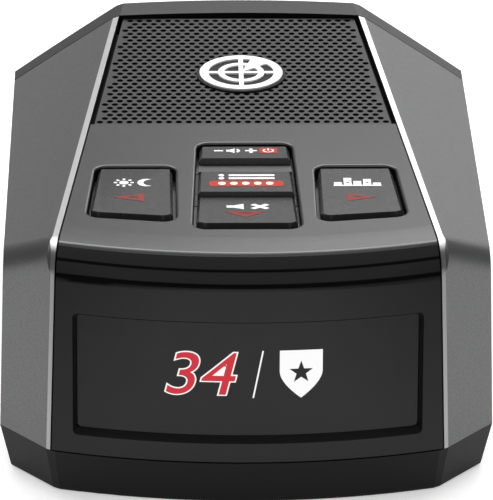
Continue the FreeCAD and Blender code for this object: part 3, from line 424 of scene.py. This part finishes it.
def plate(loops, thickness):
    """Flat plate from closed outlines in millimetres; an outline inside another makes a hole."""
    curve = bpy.data.curves.new("outline", "CURVE")
    curve.dimensions = "2D"
    curve.fill_mode = "BOTH"
    curve.extrude = thickness * MM / 2
    for loop in loops:
        spline = curve.splines.new("POLY")
        spline.points.add(len(loop) - 1)
        for point, (x, y) in zip(spline.points, loop):
            point.co = (x * MM, y * MM, 0.0, 1.0)
        spline.use_cyclic_u = True
    return settled(curve)


def settled(curve):
    """The mesh of a curve or text, with its own data removed."""
    holder = bpy.data.objects.new("holder", curve)
    bpy.context.scene.collection.objects.link(holder)
    bpy.context.view_layer.update()
    mesh = bpy.data.meshes.new_from_object(holder.evaluated_get(bpy.context.evaluated_depsgraph_get()))
    bpy.data.objects.remove(holder)
    shape = bmesh.new()
    shape.from_mesh(mesh)
    bmesh.ops.remove_doubles(shape, verts=shape.verts, dist=PLATE_MERGE)
    shape.to_mesh(mesh)
    shape.free()
    return mesh


def tree_of(node):
    shape = bmesh.new()
    shape.from_mesh(node.data)
    tree = BVHTree.FromBMesh(shape)
    shape.free()
    return tree


def lay_on(mesh, node, anchor, lift):
    """Lays a flat plate, drawn in plan, on the flat top of a CAD piece; anchor is a point on that top."""
    start = Vector((anchor[0] * MM, anchor[1] * MM, ABOVE))
    hit, normal, _, _ = tree_of(node).ray_cast(start, Vector((0, 0, -1)))
    for vertex in mesh.vertices:
        x, y, z = vertex.co
        level = hit.z - (normal.x * (x - hit.x) + normal.y * (y - hit.y)) / normal.z
        vertex.co.z = level + lift * MM + z
    return mesh


def rectangle(x0, y0, x1, y1):
    return [(x0, y0), (x1, y0), (x1, y1), (x0, y1)]


def arc(cx, cy, radius, start, end, steps=16):
    turns = [math.radians(start + (end - start) * i / steps) for i in range(steps + 1)]
    return [(cx + radius * math.cos(t), cy + radius * math.sin(t)) for t in turns]


def circle(cx, cy, radius, steps=32):
    return arc(cx, cy, radius, 0, 360 - 360 / steps, steps - 1)


def band(cx, cy, radius, width, start, end):
    """Part of a ring with square ends."""
    return arc(cx, cy, radius + width / 2, start, end) + arc(cx, cy, radius - width / 2, end, start)


def rounded_bar(x0, y0, x1, y1, radius):
    left, right = x0 + radius, x1 - radius
    low, high = y0 + radius, y1 - radius
    outline = []
    for quarter, (x, y) in enumerate(((right, high), (left, high), (left, low), (right, low))):
        outline += arc(x, y, radius, 90 * quarter, 90 * quarter + 90, 6)
    return outline


def loudspeaker(x, y, wide, tall):
    """Outline of a small loudspeaker, its left end at x and its middle at y."""
    neck = x + 0.42 * wide
    end = x + wide
    narrow, full = 0.2 * tall, 0.5 * tall
    return [(x, y - narrow), (neck, y - narrow), (end, y - full), (end, y + full), (neck, y + narrow),
            (x, y + narrow)]


def stroke(x0, y0, x1, y1, width):
    """Straight line of a given width."""
    length = math.hypot(x1 - x0, y1 - y0)
    nx, ny = (y0 - y1) / length * width / 2, (x1 - x0) / length * width / 2
    return [(x0 + nx, y0 + ny), (x1 + nx, y1 + ny), (x1 - nx, y1 - ny), (x0 - nx, y0 - ny)]


def cross(cx, cy, reach_x, reach_y, thick, turn):
    """Outline of a plus sign, or of a multiplication sign when turned by 45 degrees."""
    outline = []
    for quarter in range(4):
        angle = math.radians(90 * quarter + turn)
        ux, uy = math.cos(angle), math.sin(angle)
        for along, aside in ((1, -thick), (1, thick), (thick, thick)):
            x, y = ux * along - uy * aside, uy * along + ux * aside
            outline.append((cx + x * reach_x, cy + y * reach_y))
    return outline


def volume_icon(x0, x1, y0, y1):
    """Minus, loudspeaker with a sound wave, and plus."""
    mid, tall = (y0 + y1) / 2, y1 - y0
    return [rectangle(x0, mid - 0.27, x0 + 1.3, mid + 0.27), loudspeaker(x0 + 1.75, mid, 1.2, tall * 1.1),
            band(x0 + 2.7, mid, 0.85, 0.4, -50, 50), cross(x1 - 0.85, mid, 0.85, tall * 0.5, 0.28, 0)]


def list_icon(x0, x1, y0, y1):
    """Two rows, each a dot and a bar."""
    loops = []
    for y in (y0 + 0.35, y1 - 0.35):
        loops.append(circle(x0 + 0.75, y, 0.42, 16))
        loops.append(rectangle(x0 + 1.8, y - 0.3, x1 - 0.2, y + 0.3))
    return loops


def crossed_icon(x0, x1, y0, y1):
    """Loudspeaker and a cross."""
    mid, tall = (y0 + y1) / 2, y1 - y0
    return [loudspeaker(x0 + 1.2, mid, 2.4, tall * 1.15), cross(x1 - 2.3, mid, 1.5, tall * 0.66, 0.26, 45)]


def sun_and_moon(x0, x1, y0, y1):
    """A sun with rays and a crescent."""
    mid, half = (y0 + y1) / 2, (y1 - y0) / 2
    cx = x0 + 1.7
    loops = [circle(cx, mid, half * 0.55, 20)]
    for ray in range(8):
        turn = math.radians(45 * ray)
        ux, uy = math.cos(turn), math.sin(turn)
        loops.append(stroke(cx + ux * half * 0.8, mid + uy * half * 0.8, cx + ux * half * 1.2,
                            mid + uy * half * 1.2, 0.4))
    moon = x1 - 1.4
    outside = arc(moon, mid, half * 1.1, 60, 300, 24)
    inside = arc(moon + half * 0.55, mid, half * 0.95, 268, 92, 20)
    return loops + [outside + inside]


def skyline(x0, x1, y0, y1):
    """A row of plain towers of different heights, joined at the foot, with a few windows."""
    heights = (0.45, 1.0, 0.6, 0.85, 0.4)
    step = (x1 - x0) / len(heights)
    gap, foot = 0.14, y0 + 0.35
    outline = [(x1, y0), (x0, y0)]
    for i, part in enumerate(heights):
        left, right = x0 + step * i + gap, x0 + step * (i + 1) - gap
        top = y0 + (y1 - y0) * part
        outline += [(left, foot), (left, top), (right, top), (right, foot)]
    loops = [outline]
    for i in (1, 3):
        x = x0 + step * (i + 0.5)
        loops.append(rectangle(x - 0.2, y0 + 0.95, x + 0.2, y0 + 1.35))
    return loops


def triangle(x0, x1, y0, y1, point):
    """Hollow triangle that fills a rectangle and points one way."""
    hollow = 0.4
    mid_x, mid_y = (x0 + x1) / 2, (y0 + y1) / 2
    outer = {"left": [(x0, mid_y), (x1, y0), (x1, y1)], "right": [(x1, mid_y), (x0, y1), (x0, y0)],
             "down": [(mid_x, y0), (x1, y1), (x0, y1)]}[point]
    cx, cy = sum(x for x, y in outer) / 3, sum(y for x, y in outer) / 3
    return [outer, [(cx + (x - cx) * hollow, cy + (y - cy) * hollow) for x, y in outer]]


def power_sign(cx, cy, radius):
    """Ring with a gap at the top and an upright bar in it."""
    bar = rectangle(cx - 0.13, cy + 0.05, cx + 0.13, cy + radius + 0.3)
    return [band(cx, cy, radius, 0.24, 125, 415), bar]


PLATE = 0.03                   # thickness of the printed and lit shapes
LOW, HIGH = 0.02, 0.05         # height of a mark over the key's top, and of one printed over another
# A point on the flat top of each key
TOPS = {"vol": (0, -11.5), "menu": (0, -21.0), "mute": (0, -30.0), "dim": (-16.2, -24.6),
        "city": (16.2, -24.6)}
REPORT_DOTS = [circle(x, -22.4, 0.55, 16) for x in (-3.4, -1.7, 0, 1.7, 3.4)]
# Printed marks: key, name, plan outlines, material and height
PRINTS = [
    ("vol", "volume_mark", volume_icon(-4.38, 1.80, -11.90, -9.93), PRINT_WHITE, LOW),
    ("vol", "power_patch", [rounded_bar(2.15, -12.1, 4.75, -9.6, 0.35)], PRINT_RED, LOW),
    ("vol", "power_mark", power_sign(3.45, -10.95, 0.72), PRINT_WHITE, HIGH),
    ("menu", "menu_mark", list_icon(-4.20, 4.34, -20.8, -19.0), PRINT_WHITE, LOW),
    ("menu", "report_patch", [rounded_bar(-5.23, -23.43, 5.42, -21.36, 0.6)], PRINT_RED, LOW),
    ("menu", "report_mark", REPORT_DOTS, PRINT_WHITE, HIGH),
    ("mute", "mute_mark", crossed_icon(-4.03, 4.20, -30.16, -28.36), PRINT_WHITE, LOW),
    ("mute", "mute_arrow", triangle(-3.09, 2.64, -33.44, -31.27, "down"), ARROW_RED, LOW),
    ("dim", "dim_mark", sun_and_moon(-19.06, -12.72, -22.74, -20.35), PRINT_WHITE, LOW),
    ("dim", "dim_arrow", triangle(-18.75, -14.49, -28.24, -25.39, "left"), ARROW_RED, LOW),
    ("city", "city_mark", skyline(12.45, 19.40, -22.85, -20.0), PRINT_WHITE, LOW),
    ("city", "city_arrow", triangle(14.31, 18.32, -28.24, -25.55, "right"), ARROW_RED, LOW),
]
for key, name, loops, material, lift in PRINTS:
    mesh = lay_on(plate(loops, PLATE), NODES["button_" + key], TOPS[key], lift)
    piece(name, mesh, material, key + "_key")


# ---------------------------------------------------------------- emblem backing

BACKING_T = 0.24
BACKING_MARGIN = 0.45          # how far it stands out round the emblem
BACKING_MID = 0.13             # height of its middle over the grille
emblem_low, emblem_high = (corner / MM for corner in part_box("grille_emblem"))
emblem_mid = (emblem_low + emblem_high) / 2
mesh = plate([circle(emblem_mid.x, emblem_mid.y, emblem_high.x + BACKING_MARGIN, 72)], BACKING_T)
for vertex in mesh.vertices:
    vertex.co.z += GRILLE_Z + BACKING_MID * MM
# The backing's near-black rim round the emblem is partly painted shade
piece("emblem_backing", mesh, PAINTED_SHADE_BACKING, "housing")


# ---------------------------------------------------------------- display image

WINDOW_TREE = tree_of(NODES["display_window"])
CUT_EVERY = 0.6 * MM           # how finely a plate is cut to follow the window's bend


def on_window(mesh, lift):
    """Bends a plate drawn in the XY plane (Y is height) onto the front of the display window."""
    shape = bmesh.new()
    shape.from_mesh(mesh)
    low = min(v.co.x for v in shape.verts)
    high = max(v.co.x for v in shape.verts)
    cuts = int((high - low) / CUT_EVERY)
    for i in range(1, cuts + 1):
        bmesh.ops.bisect_plane(shape, geom=shape.verts[:] + shape.edges[:] + shape.faces[:],
                               plane_co=(low + (high - low) * i / (cuts + 1), 0, 0), plane_no=(1, 0, 0))
    for vertex in shape.verts:
        x, height, depth = vertex.co
        hit = WINDOW_TREE.ray_cast(Vector((x, IN_FRONT, height)), Vector((0, 1, 0)))[0]
        vertex.co = Vector((x, hit.y - lift * MM - depth, height))
    bmesh.ops.recalc_face_normals(shape, faces=shape.faces[:])
    shape.to_mesh(mesh)
    shape.free()
    return mesh


def digits(text, swell):
    """Flat plate of slanted digits; swell thickens the strokes."""
    font = bpy.data.curves.new("digits", "FONT")
    font.body = text
    font.size = 10 * MM
    font.shear = 0.22
    font.offset = swell * MM
    font.extrude = PLATE * MM / 2
    return settled(font)


def outline_box(mesh):
    xs = [v.co.x for v in mesh.vertices]
    ys = [v.co.y for v in mesh.vertices]
    return min(xs), max(xs), min(ys), max(ys)


def fit(mesh, box, x0, x1, z0, z1):
    """Scales a flat mesh so that the given box of it fills x0..x1, z0..z1 in millimetres."""
    for vertex in mesh.vertices:
        vertex.co.x = (x0 + (vertex.co.x - box[0]) / (box[1] - box[0]) * (x1 - x0)) * MM
        vertex.co.y = (z0 + (vertex.co.y - box[2]) / (box[3] - box[2]) * (z1 - z0)) * MM
    return mesh


def display_piece(name, mesh, lift, material):
    piece(name, on_window(mesh, lift), material, "housing")


DIGIT_PLACE = (-11.5, -1.6, 16.6, 22.9)
BEHIND, AHEAD = 0.02, 0.06     # height over the window of the white shapes and of the red digits
body_mesh, rim_mesh = digits("34", 0.0), digits("34", 0.2)
body_box = outline_box(body_mesh)
display_piece("display_digits_rim", fit(rim_mesh, body_box, *DIGIT_PLACE), BEHIND, LIT_WHITE)
display_piece("display_digits", fit(body_mesh, body_box, *DIGIT_PLACE), AHEAD, LIT_RED)
display_piece("display_slash", plate([stroke(0.72, 16.2, 2.07, 23.2, 0.22)], PLATE), BEHIND, LIT_WHITE)


def shield(cx, z0, z1, half):
    """Plain shield: flat top, upright sides, then two sides that curve to a point."""
    waist = z0 + 0.55 * (z1 - z0)
    right = [(0, z1), (half, z1)]
    for step in range(9):
        run = step / 8
        right.append((half * (1 - run ** 1.7), waist - (waist - z0) * run))
    return [(cx + x, z) for x, z in right] + [(cx - x, z) for x, z in reversed(right[1:-1])]


def star(cx, cy, radius):
    """Five-pointed star, point up."""
    return [(cx + r * math.sin(math.radians(36 * i)), cy + r * math.cos(math.radians(36 * i)))
            for i, r in enumerate([radius, radius * 0.4] * 5)]


SHIELD_X = 7.4
badge = plate([shield(SHIELD_X, 16.1, 23.2, 3.0), star(SHIELD_X, 19.9, 1.75)], PLATE)
display_piece("display_shield", badge, BEHIND, LIT_WHITE)


# ---------------------------------------------------------------- stage

# How the table's painted glow falls off in reflections, in metres: forwards, sideways in front, and at its
# front edge
FALL_FRONT, FALL_SIDE = (-0.4, -0.14), (0.03, 0.11)
SIDE_START, TABLE_EDGE = (-0.1, -0.065), (-0.46, -0.4)


def painted_glow_table():
    """White table that glows: seen directly it is evenly bright; in reflections its glow and colour are
    painted to fall off in front and at its front corners.
    """
    nodes = Nodes("painted_glow_table")
    place = nodes.split(nodes.place)
    near = nodes.spread(place["Y"], *FALL_FRONT, 0.55, 1.0)
    middle = nodes.spread(nodes.size(place["X"]), *FALL_SIDE, 1.0, 0.45)
    behind = nodes.spread(place["Y"], *SIDE_START, 0.0, 1.0)
    edge = nodes.spread(place["Y"], *TABLE_EDGE, 0.0, 1.0)
    # Painted light: direct views see the full glow, reflections see the painted fall-off
    painted_glow_falloff = nodes.times(nodes.times(near, nodes.most(middle, behind)), edge)
    level = nodes.most(painted_glow_falloff, nodes.add("ShaderNodeLightPath").outputs["Is Camera Ray"])
    nodes.link(nodes.mix(level, grey(0.02), grey(0.85)), nodes.shader.inputs["Base Color"])
    nodes.link(nodes.mix(level, grey(0.0), grey(0.42)), nodes.shader.inputs["Emission Color"])
    nodes.bump(nodes.noise(300.0), 0.02, 0.04 * MM)
    nodes.set(Roughness=0.9, Specular_IOR_Level=0.0, Emission_Strength=1.0)
    return nodes.material


FLOOR_GAP = 0.05 * MM          # keeps the floor off the underside


def floor():
    shape = bmesh.new()
    bmesh.ops.create_grid(shape, x_segments=40, y_segments=40, size=3.0)
    mesh = bpy.data.meshes.new("floor")
    shape.to_mesh(mesh)
    shape.free()
    mesh.materials.append(painted_glow_table())
    obj = bpy.data.objects.new("floor", mesh)
    obj.location.z = cad_box[0][2] - FLOOR_GAP
    bpy.context.scene.collection.objects.link(obj)


def area_light(name, place, aim, size, power):
    light = bpy.data.lights.new(name, "AREA")
    light.shape = "RECTANGLE"
    light.size, light.size_y = size
    light.energy = power
    obj = bpy.data.objects.new(name, light)
    obj.location = place
    obj.rotation_euler = (Vector(aim) - Vector(place)).to_track_quat("-Z", "Y").to_euler()
    bpy.context.scene.collection.objects.link(obj)


# Brightness of the surround in front and behind: sine of the elevation, and level
DARK, PANEL, BACKDROP = 0.01, 0.85, 4.8
FRONT_BANDS = [(0.0, DARK), (0.14, DARK), (0.17, PANEL), (0.68, PANEL), (0.695, DARK), (0.785, DARK),
               (0.8, PANEL), (1.0, PANEL)]
BACK_BANDS = [(0.0, 0.3), (0.12, 0.2), (0.4, 0.28), (0.58, 0.9), (0.67, BACKDROP), (0.97, BACKDROP),
              (1.0, 2.0)]


def bands(tree, height, levels):
    """Brightness by height of the direction, from pairs of sine of elevation and level."""
    ramp = tree.nodes.new("ShaderNodeValToRGB")
    ramp.color_ramp.elements[0].position = levels[0][0]
    ramp.color_ramp.elements[1].position = levels[-1][0]
    for position, _ in levels[1:-1]:
        ramp.color_ramp.elements.new(position)
    for element, (position, level) in zip(ramp.color_ramp.elements, levels):
        element.position = position
        element.color = (level, level, level, 1)
    tree.links.new(height, ramp.inputs[0])
    return ramp.outputs[0]


def spread_in(tree, value, numbers):
    """Map range node on a value: from low, from high, to low, to high."""
    node = tree.nodes.new("ShaderNodeMapRange")
    for key, number in zip(SPREAD_KEYS, numbers):
        node.inputs[key].default_value = number
    tree.links.new(value, node.inputs["Value"])
    return node.outputs["Result"]


def sky():
    """Studio surround: panels with dark gaps in front, a bright backdrop high behind, dimmer sides."""
    world = bpy.data.worlds.new("studio")
    world.use_nodes = True
    bpy.context.scene.world = world
    tree = world.node_tree
    background = tree.nodes["Background"]
    place = tree.nodes.new("ShaderNodeTexCoord")
    split = tree.nodes.new("ShaderNodeSeparateXYZ")
    tree.links.new(place.outputs["Generated"], split.inputs[0])
    blend = tree.nodes.new("ShaderNodeMix")
    blend.data_type = "RGBA"
    tree.links.new(spread_in(tree, split.outputs["Y"], (0.02, 0.25, 0.0, 1.0)), blend.inputs[0])
    tree.links.new(bands(tree, split.outputs["Z"], FRONT_BANDS), blend.inputs[6])
    tree.links.new(bands(tree, split.outputs["Z"], BACK_BANDS), blend.inputs[7])
    tree.links.new(blend.outputs[2], background.inputs[0])
    aside = tree.nodes.new("ShaderNodeMath")
    aside.operation = "ABSOLUTE"
    tree.links.new(split.outputs["X"], aside.inputs[0])
    tree.links.new(spread_in(tree, aside.outputs[0], (0.4, 0.75, 1.0, 0.25)), background.inputs["Strength"])


CAMERA_PLACE = Vector((-0.0133993, -0.6804876, 0.3443533))
CAMERA_PITCH, CAMERA_YAW, CAMERA_ROLL = 25.751556, 1.18058, 0.38386
CAMERA_LENS = 367.2


def camera():
    """Camera that looks down by its pitch and to the right by its yaw, then rolls."""
    pitch, yaw, roll = (math.radians(angle) for angle in (CAMERA_PITCH, CAMERA_YAW, CAMERA_ROLL))
    forward = Vector((math.sin(yaw) * math.cos(pitch), math.cos(yaw) * math.cos(pitch), -math.sin(pitch)))
    level = Vector((math.cos(yaw), -math.sin(yaw), 0))
    upright = level.cross(forward)
    right = math.cos(roll) * level + math.sin(roll) * upright
    up = -math.sin(roll) * level + math.cos(roll) * upright
    lens = bpy.data.cameras.new("camera")
    lens.sensor_width = 36
    lens.lens = CAMERA_LENS
    lens.clip_start = 0.05
    obj = bpy.data.objects.new("camera", lens)
    turn = Matrix((right, up, -forward)).transposed().to_4x4()
    obj.matrix_world = Matrix.Translation(CAMERA_PLACE) @ turn
    bpy.context.scene.collection.objects.link(obj)
    bpy.context.scene.camera = obj


floor()
sky()
area_light("key_light", place=(0.12, 0.85, 0.54), aim=(0, 0, 0), size=(0.25, 0.1), power=0.25)
area_light("right_light", place=(0.42, 0.95, 0.42), aim=(0, 0, 0.02), size=(0.5, 0.4), power=1.3)
camera()
bpy.context.scene.view_settings.view_transform = "Standard"
